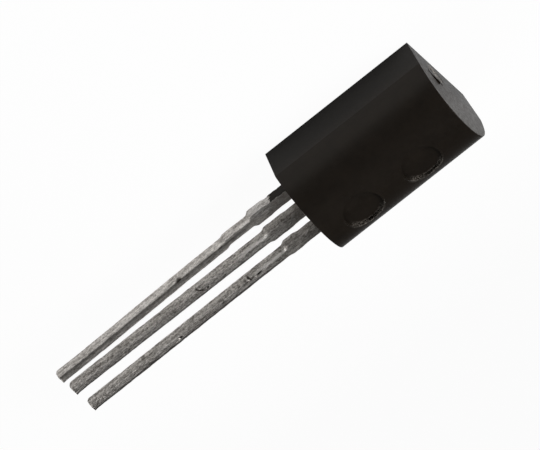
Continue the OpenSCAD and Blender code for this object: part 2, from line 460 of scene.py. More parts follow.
# %% The cross-section of a lead
SHARP_CORNER = 0.03    # radius of an edge that the press has cut
WORN_CORNER = 0.11     # radius of the upper edge of the two leads that are more worn
FAR_CORNER = 0.08      # radius of the upper edge on the other side
CORNER_SEGMENTS = 4
LONG_EDGE = 0.15       # an edge longer than this is a side, and a shorter one is part of a corner
SIDE_CUTS = 5          # extra points across each side, so that the surface can be shaped


def pick_points(wanted):
    """Selects the points for which wanted(point) is true, and says how many there are."""
    bpy.ops.mesh.select_mode(type="VERT")
    bpy.ops.mesh.select_all(action="DESELECT")
    mesh = bmesh.from_edit_mesh(bpy.context.object.data)
    chosen = [point for point in mesh.verts if wanted(point)]
    for point in chosen:
        point.select_set(True)
    bmesh.update_edit_mesh(bpy.context.object.data)
    return len(chosen)


def cross_section(name, x, width, y, near_corner):
    """A plane across the lead at x, left open in edit mode.

    near_corner is the radius of its upper corner on the -Y side.
    """
    bpy.ops.object.select_all(action="DESELECT")
    bpy.ops.mesh.primitive_plane_add(
        size=1, location=(x, y, parting), rotation=(0, math.pi / 2, 0)
    )
    lead = bpy.context.object
    lead.name = name
    lead.scale = (lead_thickness, width, 1)
    bpy.ops.object.transform_apply(location=True, rotation=True, scale=True)
    open_mesh(lead)
    pick_points(lambda point: point.co.y < y and point.co.z > parting)
    bpy.ops.mesh.bevel(offset=near_corner, segments=CORNER_SEGMENTS, affect="VERTICES")
    pick_points(lambda point: point.co.y > y + width / 4 and point.co.z > parting)
    bpy.ops.mesh.bevel(offset=FAR_CORNER, segments=CORNER_SEGMENTS, affect="VERTICES")
    pick_points(lambda point: all(edge.calc_length() > LONG_EDGE for edge in point.link_edges))
    bpy.ops.mesh.bevel(offset=SHARP_CORNER, segments=CORNER_SEGMENTS, affect="VERTICES")
    pick_edges(lambda edge: edge.calc_length() > LONG_EDGE)
    bpy.ops.mesh.subdivide(number_cuts=SIDE_CUTS)
    bpy.ops.mesh.select_all(action="SELECT")
    return lead


# %% [markdown]
# A lead that changes its width or its middle does so in a soft S, because the press
# and the tin round every step. So each stretch between two stations is made of many
# short extrusions, and each takes its eased share of the change.

# %% Drawing out a lead
STEP = 0.07            # length of one extrusion


def spread(y, width, change):
    """Moves the two sides of the selected points apart by change, and keeps the corners."""
    mesh = bmesh.from_edit_mesh(bpy.context.object.data)
    flat_half = width / 2 - WORN_CORNER
    for point in mesh.verts:
        if point.select:
            side = min(1, max(-1, (point.co.y - y) / flat_half))
            point.co.y += side * change / 2
    bmesh.update_edit_mesh(bpy.context.object.data)


def draw_out(name, first, stations, near_corner):
    """A flat lead extruded from first through stations, each (x, width, y), with soft S curves."""
    x, width, y = first
    lead = cross_section(name, x, width, y, near_corner)
    for next_x, next_width, next_y in stations:
        count = max(1, round((next_x - x) / STEP))
        advance = (next_x - x) / count
        done = 0
        for i in range(count):
            part = (i + 1) / count
            eased = part * part * (3 - 2 * part)
            shift = (next_y - y) * (eased - done) / (1 - done)
            change = (next_width - width) * (eased - done) / (1 - done)
            bpy.ops.mesh.extrude_region_move(TRANSFORM_OT_translate={"value": (advance, shift, 0)})
            y += shift
            spread(y, width, change)
            width += change
            done = eased
        x = next_x
    bpy.ops.mesh.select_all(action="SELECT")
    bpy.ops.mesh.normals_make_consistent(inside=False)
    close_mesh()
    return lead


# %% [markdown]
# The dam bar is cut out by the press between one lead and the next, so what is left
# of it stands out a little on each side. The tin then rounds it off.

# %% Places along the leads
PITCH = 1.27
POST_COVER = 1.35      # compound between the posts and the lead end of the case
POST_LENGTH = 0.9
POST_WIDTH = 0.84
PAD_COVER = 1.3        # compound between the pad and the plain end
PAD_TO_POST = 0.45
PAD_WIDTH = 2.3
NECK_SLOPE = 0.2
DAM_BAR_START = 1.08   # from the case to where the dam bar was
DAM_BAR_LENGTH = 0.8
KINK_START = 1.25      # from the dam bar to the base lead's kink
KINK_LENGTH = 0.16
KINK_STEP = 0.09       # how far to the side the kink takes the lead
SHOULDER = 0.08        # half the length of each step in a lead's width

tip = {name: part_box(name)[1].x / MM for name in ("lead_emitter", "lead_collector", "lead_base")}
post_end = lead_end - POST_COVER
post_start = post_end - POST_LENGTH
pad_start = plain_end + PAD_COVER
pad_end = post_start - PAD_TO_POST
dam_bar_x = lead_end + DAM_BAR_START
shoulder_x = dam_bar_x + DAM_BAR_LENGTH
kink_x = shoulder_x + KINK_START
for name, x in tip.items():
    print(f"{name} ends {x - lead_end:.2f} mm from the case")

# %% [markdown]
# No two leads are alike: each has its own widths, and each was cut free a little
# nearer to the case or further from it. A width is given with the Y of its middle.

# %% The three leads
EMITTER_NECK = (0.58, PITCH + 0.01)
COLLECTOR_NECK = (0.65, 0.005)
BASE_NECK = (0.65, -PITCH + 0.015)
BASE_NARROW = (0.445, -PITCH + 0.022)


def outer_stations(neck, wide, narrow, steps, bends):
    """Stations from the case to the tip. The steps of the dam bar are at two places.

    neck, wide and narrow are each a width and the Y of its middle. Each bend is a place
    and how far to the side of the narrow stretch's own middle the lead is there.
    """
    return [
        (lead_end, *neck),
        (steps[0] - SHOULDER, *neck),
        (steps[0] + SHOULDER, *wide),
        (steps[1] - SHOULDER, *wide),
        (steps[1] + SHOULDER, *narrow),
        *[(x, narrow[0], narrow[1] + sideways) for x, sideways in bends],
    ]


lead_emitter = draw_out(
    "lead_emitter_tinned",
    (post_start, POST_WIDTH, PITCH),
    [
        (post_end, POST_WIDTH, PITCH),
        (post_end + NECK_SLOPE, EMITTER_NECK[0], PITCH),
        *outer_stations(
            neck=EMITTER_NECK,
            wide=(0.67, PITCH - 0.015),
            narrow=(0.46, PITCH + 0.03),
            steps=(dam_bar_x + 0.06, shoulder_x - 0.08),
            bends=[(tip["lead_emitter"], 0.06)],
        ),
    ],
    WORN_CORNER,
)
lead_collector = draw_out(
    "lead_collector_tinned",
    (pad_start, PAD_WIDTH, 0),
    [
        (pad_end, PAD_WIDTH, 0),
        (pad_end + NECK_SLOPE, COLLECTOR_NECK[0], 0),
        *outer_stations(
            neck=COLLECTOR_NECK,
            wide=(0.7, 0),
            narrow=(0.48, 0.008),
            steps=(dam_bar_x - 0.2, shoulder_x + 0.03),
            bends=[(shoulder_x + 0.4, 0.004), (tip["lead_collector"], 0)],
        ),
    ],
    WORN_CORNER,
)
lead_base = draw_out(
    "lead_base_tinned",
    (post_start, POST_WIDTH, -PITCH),
    [
        (post_end, POST_WIDTH, -PITCH),
        (post_end + NECK_SLOPE, *BASE_NECK),
        *outer_stations(
            neck=BASE_NECK,
            wide=(0.74, -PITCH),
            narrow=BASE_NARROW,
            steps=(dam_bar_x, shoulder_x),
            bends=[(kink_x, 0), (kink_x + KINK_LENGTH, KINK_STEP), (tip["lead_base"], 0.28)],
        ),
    ],
    SHARP_CORNER,
)
leads = (lead_emitter, lead_collector, lead_base)
for lead in leads:
    print(lead.name, "faces:", len(lead.data.polygons))

# %% [markdown]
# A lead's tip is cut by a shear. The blade drags its lower edge round, and leaves a
# small burr on the far side. The lower points near the tip are lifted to an arc, and
# the burr is the far corner drawn out over the last tenth of a millimetre.

# %% Sheared tips
BURR_LENGTH = 0.09
BURR_WIDTH = 0.03
TIP_BEVEL = 0.02


def shear_tip(lead, roll):
    """Rounds the lower edge of the tip with radius roll, and draws out the burr."""
    end = max(point.co.x for point in lead.data.vertices)
    reach = max(roll, BURR_LENGTH)
    tip_points = [point for point in lead.data.vertices if point.co.x > end - reach]
    middle = sum(point.co.y for point in tip_points) / len(tip_points)
    for point in tip_points:
        into_roll = min(roll, max(0, point.co.x - (end - roll)))
        arc = parting - lead_thickness / 2 + roll - math.sqrt(roll**2 - into_roll**2)
        point.co.z = max(point.co.z, arc)
        if point.co.y > middle and point.co.z > parting:
            into_burr = max(0, point.co.x - (end - BURR_LENGTH)) / BURR_LENGTH
            point.co.y += BURR_WIDTH * into_burr
    open_mesh(lead)
    pick_edges(lambda edge: all(abs(point.co.x - end) < 1e-4 for point in edge.verts))
    bpy.ops.mesh.bevel(offset=TIP_BEVEL, segments=2, clamp_overlap=True)
    close_mesh()
    print(lead.name, "has a tip rounded by", roll, "mm")


shear_tip(lead_emitter, 0.12)
shear_tip(lead_collector, 0.17)
shear_tip(lead_base, 0.13)

# %% [markdown]
# A press rounds every step a little. A Smooth modifier does the same here. It is kept
# from acting along X, which would pull the tips in.

# %% Softened steps
for lead in leads:
    apply_modifier(lead, "SMOOTH", factor=0.5, iterations=1, use_x=False)
    print(lead.name, "softened:", len(lead.data.vertices), "points")

# %% [markdown]
# The blade that cut the base lead free was blunt, so one long edge kept a thin ragged
# burr. The points of that edge are lifted by noise that runs along the lead.

# %% A burr along the base lead
EDGE_BURR = 0.035
EDGE_BURR_REACH = 0.05     # how far in from the side of the lead it is lifted
EDGE_BURR_DEPTH = 0.04     # how far below the top of the lead a point may be to be lifted

top_of_lead = parting + lead_thickness / 2
lifted = 0
near_side = {}
for point in lead_base.data.vertices:
    place = round(point.co.x, 2)
    near_side[place] = min(point.co.y, near_side.get(place, 0))
for point in lead_base.data.vertices:
    inward = point.co.y - near_side[round(point.co.x, 2)]
    on_edge = inward < EDGE_BURR_REACH and point.co.z > top_of_lead - EDGE_BURR_DEPTH
    if on_edge and point.co.x > shoulder_x:
        ragged = 0.55 + 0.9 * noise.noise(Vector((point.co.x * 2.3, 0, 7)))
        point.co.z += EDGE_BURR * min(1, max(0, ragged))
        lifted += 1
print("points along the burr:", lifted)

# %% [markdown]
# Hot tin never sets quite flat. Two Displace modifiers push the surface in and out by
# about a hundredth of a millimetre, one in slow waves and one in fine grain.

# %% A tinned skin
WAVE_HEIGHT = 0.026
GRAIN_HEIGHT = 0.012

slow_waves = bpy.data.textures.new("tin_waves", "CLOUDS")
slow_waves.noise_scale = 0.35
fine_grain = bpy.data.textures.new("tin_grain", "CLOUDS")
fine_grain.noise_scale = 0.11
fine_grain.noise_depth = 2

for lead in leads:
    for texture, height in ((slow_waves, WAVE_HEIGHT), (fine_grain, GRAIN_HEIGHT)):
        apply_modifier(lead, "DISPLACE", texture=texture, texture_coords="LOCAL", strength=height)
    print(f"{lead.name} is {lead.dimensions.z:.3f} mm thick with its tin")

# %% [markdown]
# Handling leaves nicks in the soft tin, after it has set. Each is a small block that is
# cut out of the lead at a slant.

# %% Nicks
NICK_TILT = math.radians(8)


def nick(lead, place, size, turn):
    """Cuts a slanting groove of this size, turned in degrees about the vertical."""
    bpy.ops.object.select_all(action="DESELECT")
    bpy.ops.mesh.primitive_cube_add(
        size=1, location=place, rotation=(NICK_TILT, 0, math.radians(turn)), scale=size
    )
    cut_or_add(lead, bpy.context.object, "DIFFERENCE")


NICKS = (  # lead, place, size and turn of each
    (lead_collector, (8.78, -0.095, top_of_lead), (0.42, 0.05, 0.14), -48),
    (lead_collector, (8.5, 0.03, top_of_lead), (0.12, 0.06, 0.1), -10),
    (lead_base, (9.08, -PITCH - 0.02, top_of_lead), (0.34, 0.07, 0.1), 6),
    (lead_base, (7.02, -PITCH - 0.04, top_of_lead), (0.3, 0.04, 0.08), 4),
    (lead_emitter, (6.73, PITCH - 0.08, top_of_lead), (0.34, 0.05, 0.1), 4),
    (lead_emitter, (7.18, PITCH - 0.16, top_of_lead), (0.1, 0.16, 0.08), 20),
    (lead_emitter, (10.68, PITCH + 0.04, top_of_lead), (0.16, 0.05, 0.09), 8),
)
for lead, place, size, turn in NICKS:
    nick(lead, place, size, turn)

for lead in leads:
    only(lead)
    bpy.ops.object.shade_smooth()
    print(lead.name, "faces:", len(lead.data.polygons))

# %% [markdown]
# ## Flash on one lead
#
# Where the mould closes on the leads, a little compound creeps out along one of them
# and sets as a thin black film with a broken edge. It belongs to the case: a thin
# block is subdivided, its free end is broken up with noise, and it is added to the
# case like the lips.

# %% A film of compound
FILM_LENGTH = 0.84
FILM_THICKNESS = 0.035
FILM_ROOT = 0.1        # how much longer the block is, half of it inside the case
FILM_HEIGHT = 0.97     # share of the lead's thickness that it covers

film_y = BASE_NECK[1] - BASE_NECK[0] / 2
bpy.ops.object.select_all(action="DESELECT")
bpy.ops.mesh.primitive_cube_add(
    size=1,
    location=(lead_end + (FILM_LENGTH - FILM_ROOT) / 2, film_y, parting + 0.01),
    scale=(FILM_LENGTH + FILM_ROOT, FILM_THICKNESS, lead_thickness * FILM_HEIGHT),
)
film = bpy.context.object
bpy.ops.object.transform_apply(location=True, rotation=True, scale=True)
open_mesh(film)
bpy.ops.mesh.select_all(action="SELECT")
bpy.ops.mesh.subdivide(number_cuts=11)
mesh = bmesh.from_edit_mesh(film.data)
for point in mesh.verts:
    along = max(0, point.co.x - lead_end) / FILM_LENGTH
    torn = noise.noise(Vector((3.1, point.co.z * 9, 0.4)))
    torn += 0.6 * noise.noise(Vector((0, point.co.z * 23, 1)))
    point.co.x += 0.24 * torn * along**2
    point.co.z += 0.05 * noise.noise(Vector((point.co.x * 6, 0, 2))) * along
    point.co.y += 0.008 * noise.noise(point.co * 9)
bmesh.update_edit_mesh(film.data)
close_mesh()
cut_or_add(case, film, "UNION")
print("faces after the film:", len(case.data.polygons))

# %% [markdown]
# ## Crumbs of the cuts
#
# Where two surfaces nearly met, a cut leaves edges of no length and faces of no area,
# and a rough tool can leave a crumb of its own inside the wall. The first are closed
# up, and all that doesn't hang together with the moulded flat is deleted.

# %% Nothing loose on the case
ON_THE_FLAT = 1e-3     # a face whose middle is lower than this belongs to the flat

open_mesh(case)
before = len(case.data.polygons)
bpy.ops.mesh.select_all(action="SELECT")
bpy.ops.mesh.dissolve_degenerate(threshold=MERGE_DISTANCE)
pick_faces(lambda face: face.calc_center_median().z < ON_THE_FLAT)
bpy.ops.mesh.select_linked()
bpy.ops.mesh.select_all(action="INVERT")
bpy.ops.mesh.delete(type="FACE")
close_mesh()
print("faces of the case before and after:", before, len(case.data.polygons))

# %% [markdown]
# The case is shaded smooth, except across sharp edges, and the parting line is marked
# as one. Weighted normals then let the large faces decide how the small ones beside
# them are shaded, so the flat surfaces stay flat up to their worn edges.

# %% Shading of the case
SMOOTH_UP_TO = math.radians(30)
ON_THE_LINE = 1e-3     # how near the parting line's height a point of it is
AT_THE_SIDE = 1e-2     # and how near the widest place

only(case)
bpy.ops.object.shade_smooth_by_angle(angle=SMOOTH_UP_TO)
open_mesh(case)
crease = pick_edges(
    lambda edge: all(
        abs(point.co.z - parting) < ON_THE_LINE
        and abs(abs(point.co.y) - half_width) < AT_THE_SIDE
        for point in edge.verts
    )
)
bpy.ops.mesh.mark_sharp()
close_mesh()
apply_modifier(case, "WEIGHTED_NORMAL", keep_sharp=True)
print("parting line edges:", crease)

# %% [markdown]
# ## Materials
#
# Every material is built from noise on Object coordinates. They are in metres, so a
# Mapping node multiplies them by a thousand, and a noise of scale 10 then has about
# ten grains to the millimetre on every piece.

# %% Helpers for materials
def new_material(name, **values):
    """A Principled material. values are its plain inputs, with _ for a space."""
    material = bpy.data.materials.new(name)
    material.use_nodes = True
    shader = material.node_tree.nodes["Principled BSDF"]
    for key, value in values.items():
        shader.inputs[key.replace("_", " ")].default_value = value
    return material, shader


def add_node(material, kind, **settings):
    """A new node. settings are its own settings, or its inputs by name with _ for a space."""
    node = material.node_tree.nodes.new(kind)
    for key, value in settings.items():
        if hasattr(node, key):
            setattr(node, key, value)
        else:
            node.inputs[key.replace("_", " ")].default_value = value
    return node


def join(material, output, socket):
    """Links an output to an input."""
    material.node_tree.links.new(output, socket)


def place_in_mm(material, stretch=(1, 1, 1)):
    """Object coordinates in millimetres. A stretch of 5 makes a grain five times as long."""
    coordinates = add_node(material, "ShaderNodeTexCoord")
    mapping = add_node(material, "ShaderNodeMapping", Scale=[1 / MM / long for long in stretch])
    join(material, coordinates.outputs["Object"], mapping.inputs["Vector"])
    return mapping.outputs["Vector"]


def axes(material, place):
    """The X, Y and Z of a place, each an output."""
    node = add_node(material, "ShaderNodeSeparateXYZ")
    join(material, place, node.inputs[0])
    return node.outputs["X"], node.outputs["Y"], node.outputs["Z"]


def distance_from(material, place, stretch=(1, 1, 1)):
    """How far a point is from place in millimetres. An axis stretched a lot doesn't count."""
    node = add_node(material, "ShaderNodeVectorMath", operation="DISTANCE")
    join(material, place_in_mm(material, stretch), node.inputs[0])
    node.inputs[1].default_value = place
    return node.outputs["Value"]


def grain(material, scale, stretch=(1, 1, 1), detail=3, roughness=0.6):
    """Noise from 0 to 1, with this many grains to the millimetre."""
    node = add_node(
        material, "ShaderNodeTexNoise", Scale=scale, Detail=detail, Roughness=roughness
    )
    join(material, place_in_mm(material, stretch), node.inputs["Vector"])
    return node.outputs["Fac"]


def rescale(material, value, low, high, to_low=0, to_high=1):
    """value from low to high becomes a value from to_low to to_high."""
    node = add_node(
        material,
        "ShaderNodeMapRange",
        From_Min=low,
        From_Max=high,
        To_Min=to_low,
        To_Max=to_high,
    )
    join(material, value, node.inputs["Value"])
    return node.outputs["Result"]


def calculate(material, operation, first, second):
    """A Math node. second is a number or another node's output."""
    node = add_node(material, "ShaderNodeMath", operation=operation)
    join(material, first, node.inputs[0])
    if isinstance(second, (int, float)):
        node.inputs[1].default_value = second
    else:
        join(material, second, node.inputs[1])
    return node.outputs["Value"]


def mix_colors(material, factor, first, second):
    """Goes from first to second as factor goes from 0 to 1. Each is a colour or an output."""
    node = add_node(material, "ShaderNodeMix", data_type="RGBA")
    join(material, factor, node.inputs["Factor"])
    for socket, color in ((node.inputs[6], first), (node.inputs[7], second)):
        if isinstance(color, tuple):
            socket.default_value = (*color, 1)
        else:
            join(material, color, socket)
    return node.outputs[2]


def join_finish(material, shader, color, roughness, relief, height):
    """Gives the shader its colour and roughness, and relief as a bump of this many mm."""
    bump = add_node(material, "ShaderNodeBump", Distance=height * MM, Strength=1)
    join(material, relief, bump.inputs["Height"])
    join(material, bump.outputs["Normal"], shader.inputs["Normal"])
    join(material, color, shader.inputs["Base Color"])
    join(material, roughness, shader.inputs["Roughness"])
    print(material.name, "has", len(material.node_tree.nodes), "nodes")


# %% [markdown]
# Some finishes belong to one place: a patch round a point, a line along a lead, or the
# painted shade in a nick. Each helper below gives 1 there and 0 elsewhere. Noise makes
# the edge of a patch or of a line uneven, because no stain, wear or shade ends evenly.

# %% Patches, lines along the leads, and painted shade in a nick
LINE_RAGGEDNESS = 0.03


def uneven(material, scale, raggedness, stretch=(1, 1, 1)):
    """Noise from -raggedness to raggedness."""
    return rescale(material, grain(material, scale, stretch), 0.3, 0.7, -raggedness, raggedness)


def nearness(material, place, reach, raggedness):
    """1 at place and 0 from reach outwards, both in millimetres, with an uneven edge."""
    distance = distance_from(material, place)
    distance = calculate(material, "ADD", distance, uneven(material, 5, raggedness))
    return rescale(material, distance, reach * 0.7, reach, 1, 0)


def edge_line(material, x, y, middle_y, lean, reach):
    """1 on a line along X and 0 from reach outwards, in millimetres, with an uneven edge.

    x and y are outputs. The line is middle_y to the side where x is shoulder_x, and
    moves by lean for each millimetre.
    """
    across = calculate(material, "ADD", y, calculate(material, "MULTIPLY", x, -lean))
    across = calculate(material, "ADD", across, lean * shoulder_x - middle_y)
    ragged = uneven(material, 5, LINE_RAGGEDNESS, stretch=(2, 1, 1))
    across = calculate(material, "ADD", across, ragged)
    across = calculate(material, "ABSOLUTE", across, 0)
    return rescale(material, across, reach * 0.45, reach, 1, 0)


def inside(material, place, size, turn):
    """1 inside an egg of this size in millimetres, turned about the vertical."""
    coordinates = add_node(material, "ShaderNodeTexCoord")
    egg = add_node(
        material,
        "ShaderNodeMapping",
        vector_type="TEXTURE",
        Location=[length * MM for length in place],
        Rotation=(0, 0, math.radians(turn)),
        Scale=[length * MM / 2 for length in size],
    )
    join(material, coordinates.outputs["Object"], egg.inputs["Vector"])
    from_middle = add_node(material, "ShaderNodeVectorMath", operation="LENGTH")
    join(material, egg.outputs["Vector"], from_middle.inputs[0])
    return rescale(material, from_middle.outputs["Value"], 0.7, 1.1, 1, 0)


# %% [markdown]
# ### Moulding compound
#
# The case is black epoxy full of ground glass. It is nearly black, but not one even
# black: it is mottled, with pale specks of filler. The lower half is painted darker
# still, as painted shade from the table close beside it. A warm tint on the gloss keeps
# the sheen from looking blue.

# %% Colour of the compound
GLOSS_TINT = (1, 0.94, 0.87, 1)
PLASTIC_COLORS = ((0.0058, 0.004, 0.0026), (0.0084, 0.006, 0.004))     # darkest and palest
FILLER_COLOR = (0.022, 0.021, 0.019)
# Painted shade on the lower half of the case: its colour, how much of it, and where it has faded
# out.
LOWER_SHADE_COLOR = (0.0008, 0.0006, 0.0004)
LOWER_SHADE_SHARE = 0.75
LOWER_SHADE_TOP = parting + 0.05

compound, compound_shader = new_material("moulding_compound", IOR=1.33, Specular_Tint=GLOSS_TINT)
mottle = rescale(compound, grain(compound, 1.6, detail=5), 0.35, 0.65)
body_color = mix_colors(compound, mottle, *PLASTIC_COLORS)
filler = rescale(compound, grain(compound, 38, detail=2), 0.66, 0.78)
speckled = mix_colors(compound, filler, body_color, FILLER_COLOR)
case_x, _, case_z = axes(compound, place_in_mm(compound))
# Painted shade: up to 1 mm the case is painted darker, and the painted shade fades out just above
# the parting line.
painted_lower_shade = rescale(compound, case_z, 1, LOWER_SHADE_TOP, LOWER_SHADE_SHARE, 0)
case_color = mix_colors(compound, painted_lower_shade, speckled, LOWER_SHADE_COLOR)
print("compound, nodes for its colour:", len(compound.node_tree.nodes))

# %% [markdown]
# Part of each mark's rim, on the side of its lip, is paler: a patch on that side is
# multiplied by a band along the rim. Where the gate broke off, the broken plastic is
# paler, and it is painted paler still, as painted light that lifts the shade in its
# hollow. Coarse noise breaks both pale surfaces up.

# %% Pale rims, and broken plastic with painted light
# A paler colour on part of each mark's rim.
PALE_RIM_COLOR = (0.125, 0.112, 0.098)
PALE_RIM_SIDE = (0.1, 0.75, crown - 0.1)   # from the middle of a mark to its torn side
PALE_RIM_REACH = 0.85
PALE_RIM_BAND = (0.04, 0.17)       # from the rim: wholly torn up to one, not torn from the other
# Broken plastic at the gate: paler, and painted paler still as painted light that lifts the shade
# of its hollow.
BROKEN_PAINTED_LIGHT_COLOR = (0.2, 0.182, 0.162)
BROKEN_PAINTED_LIGHT_REACH = 0.5

pale_rims = []
for x in (FIRST_MARK, SECOND_MARK):
    pale_side = (x + PALE_RIM_SIDE[0], PALE_RIM_SIDE[1], PALE_RIM_SIDE[2])
    near_pale_side = nearness(compound, pale_side, PALE_RIM_REACH, 0.1)
    from_axis = distance_from(compound, (x, 0, 0), stretch=(1, 1, 1e6))
    off_rim = calculate(compound, "SUBTRACT", from_axis, MARK_RADIUS)
    off_rim = calculate(compound, "ABSOLUTE", off_rim, 0)
    on_rim = rescale(compound, off_rim, *PALE_RIM_BAND, 1, 0)
    pale_rims.append(calculate(compound, "MULTIPLY", near_pale_side, on_rim))
# The mask of the paler part of the rims.
torn = calculate(compound, "MAXIMUM", *pale_rims)
pale_rim_grain = rescale(compound, grain(compound, 14), 0.45, 0.62)
torn = calculate(compound, "MULTIPLY", torn, pale_rim_grain)
case_color = mix_colors(compound, torn, case_color, PALE_RIM_COLOR)

# Paler broken plastic with painted light, round the rough patch at the plain end.
broken_painted_light = nearness(compound, (plain_end, *BREAK_PLACE), BROKEN_PAINTED_LIGHT_REACH, 0.12)
broken_painted_light_grain = rescale(compound, grain(compound, 11), 0.42, 0.6)
broken_painted_light = calculate(compound, "MULTIPLY", broken_painted_light, broken_painted_light_grain)
case_color = mix_colors(compound, broken_painted_light, case_color, BROKEN_PAINTED_LIGHT_COLOR)
print("compound, nodes with the torn plastic:", len(compound.node_tree.nodes))

# %% [markdown]
# The mould's polished cavity gives the sides a satin sheen. Its ends wear faster, so
# the ends of the case are rougher in patches, and their surface is coarser.

# %% Sheen and skin of the compound
SATIN = (0.35, 0.44)           # roughness of the sides
ERODED = (0.3, 0.46)           # roughness of the ends
END_DEPTH = (0.09, 0.06)       # from an end inwards: side up to one, end face from the other
SKIN_HEIGHT = 0.006

from_middle = calculate(compound, "ABSOLUTE", case_x, 0)
end_face = rescale(compound, from_middle, *(lead_end - depth for depth in END_DEPTH))
satin = rescale(compound, grain(compound, 7, detail=5), 0.3, 0.7, *SATIN)
eroded = rescale(compound, grain(compound, 6, detail=5), 0.32, 0.68, *ERODED)
difference = calculate(compound, "SUBTRACT", eroded, satin)
difference = calculate(compound, "MULTIPLY", difference, end_face)
case_gloss = calculate(compound, "ADD", satin, difference)
skin = rescale(compound, grain(compound, 30, detail=4), 0, 1, 0, 0.5)
coarse = calculate(compound, "MULTIPLY", grain(compound, 11, detail=5), end_face)
skin = calculate(compound, "ADD", skin, coarse)
join_finish(compound, compound_shader, case_color, case_gloss, skin, SKIN_HEIGHT)

# %% [markdown]
# ### Tinned leads
#
# Matt tin over copper alloy: a dull grey metal. The strip was rolled and pressed, so
# its streaks are nine times as long as they are wide, and fine grain lies over them.
# Darker patches and small dark flecks are where the tin is thin.

# %% Grey tin
DARK_TIN = (0.26, 0.239, 0.22)
PALE_TIN = (0.96, 0.92, 0.873)
PATCH_COLOR = (0.34, 0.318, 0.295)
FLECK_COLOR = (0.1, 0.089, 0.079)

tin, tin_shader = new_material("tinned_lead", Metallic=1)
streaks = grain(tin, 9, stretch=(9, 1, 1), detail=4, roughness=0.65)
specks = grain(tin, 17, stretch=(1.6, 1, 1), detail=3)
half_streaks = calculate(tin, "MULTIPLY", streaks, 0.5)
half_specks = calculate(tin, "MULTIPLY", specks, 0.5)
worked = calculate(tin, "ADD", half_streaks, half_specks)
contrast = rescale(tin, worked, 0.41, 0.59)
tin_color = mix_colors(tin, contrast, DARK_TIN, PALE_TIN)
patches = rescale(tin, grain(tin, 2.2, stretch=(2, 1, 1), detail=4), 0.35, 0.7, 0, 0.28)
tin_color = mix_colors(tin, patches, tin_color, PATCH_COLOR)
flecks = grain(tin, 6.5, stretch=(2.2, 1, 1), detail=4, roughness=0.7)
flecks = rescale(tin, flecks, 0.54, 0.66, 0, 0.8)
tin_color = mix_colors(tin, flecks, tin_color, FLECK_COLOR)
print("tin, nodes for the grey:", len(tin.node_tree.nodes))

# %% [markdown]
# The tin is darker beside the case, most of all right at it. One place on the base
# lead's side is chalky, and that whole lead is painted a little paler, as painted light
# from the brighter side of the table.

# %% Darker tin beside the case, a chalky place, and painted light on the base lead
# The tin is darker towards the case.
DARK_BY_CASE_COLOR = (0.14, 0.122, 0.104)
DARK_BY_CASE_FROM = lead_end + 0.3    # full up to here
DARK_BY_CASE_TO = lead_end + 2.8      # and gone from here
DARK_BY_CASE_SHARE = 0.86
CHALKY_PLACE = (dam_bar_x + 0.22, -PITCH - 0.4, parting - 0.03)
CHALKY_REACH = 0.6
CHALKY_COLORS = ((0.28, 0.268, 0.255), (0.78, 0.757, 0.735))   # dark and pale streaks
# Painted light: the colour that the base lead is painted towards.
BASE_LEAD_PAINTED_LIGHT_COLOR = (0.78, 0.735, 0.69)

lead_x, lead_y, lead_z = axes(tin, place_in_mm(tin))
# Darker towards the case, most of all right at it.
ragged_x = calculate(tin, "ADD", lead_x, uneven(tin, 4, 0.25))
darker_by_case = rescale(tin, ragged_x, DARK_BY_CASE_FROM, DARK_BY_CASE_TO, DARK_BY_CASE_SHARE, 0)
darker_by_case = calculate(tin, "POWER", darker_by_case, 2)
tin_color = mix_colors(tin, darker_by_case, tin_color, DARK_BY_CASE_COLOR)
chalky = mix_colors(tin, contrast, *CHALKY_COLORS)
at_chalky_place = nearness(tin, CHALKY_PLACE, CHALKY_REACH, 0.16)
tin_color = mix_colors(tin, at_chalky_place, tin_color, chalky)
# Painted light: the base lead is painted a little paler all over.
base_lead_painted_light = rescale(tin, lead_y, -0.9, -1, 0, 0.18)
tin_color = mix_colors(tin, base_lead_painted_light, tin_color, BASE_LEAD_PAINTED_LIGHT_COLOR)
print("tin, nodes with the stain:", len(tin.node_tree.nodes))

# %% [markdown]
# A painted highlight lies along the worn upper edge of the other two leads, for a way
# past the step. The distance from the edge is taken in Y and Z only, so that the painted
# highlight stays on the edge and doesn't spread over the sides.

# %% Painted highlights on the worn edges
# Painted highlight: its colour, the Y of each edge, and how far it reaches.
EDGE_HIGHLIGHT_COLOR = (0.98, 0.95, 0.91)
HIGHLIGHT_EDGES = (-0.19, PITCH - 0.18)   # Y of each
HIGHLIGHT_REACH = (0.03, 0.09)            # fully bright up to one, and not bright from the other

highlight_from = rescale(tin, lead_x, shoulder_x - 0.2, shoulder_x + 0.1)
highlight_until = rescale(tin, lead_x, shoulder_x + 1, shoulder_x + 1.6, 0.8, 0)
for edge_y in HIGHLIGHT_EDGES:
    edge_place = (0, edge_y, top_of_lead - 0.02)
    from_edge = distance_from(tin, edge_place, stretch=(1e6, 1, 1))
    from_edge = calculate(tin, "ADD", from_edge, uneven(tin, 6, 0.03))
    # Painted highlight along this edge.
    painted_highlight = rescale(tin, from_edge, *HIGHLIGHT_REACH, 1, 0)
    painted_highlight = calculate(tin, "MULTIPLY", painted_highlight, highlight_until)
    painted_highlight = calculate(tin, "MULTIPLY", painted_highlight, highlight_from)
    tin_color = mix_colors(tin, painted_highlight, tin_color, EDGE_HIGHLIGHT_COLOR)
print("tin, nodes with the highlighted edges:", len(tin.node_tree.nodes))

# %% [markdown]
# Painted shade darkens the nicks, as if shade lay in them, the far edges of the upper
# side, which face the dark far side, and a line behind the burr on the base lead, which
# is the burr's painted shadow. The line behind the burr is sharp on the burr's side and
# fades out on the other.

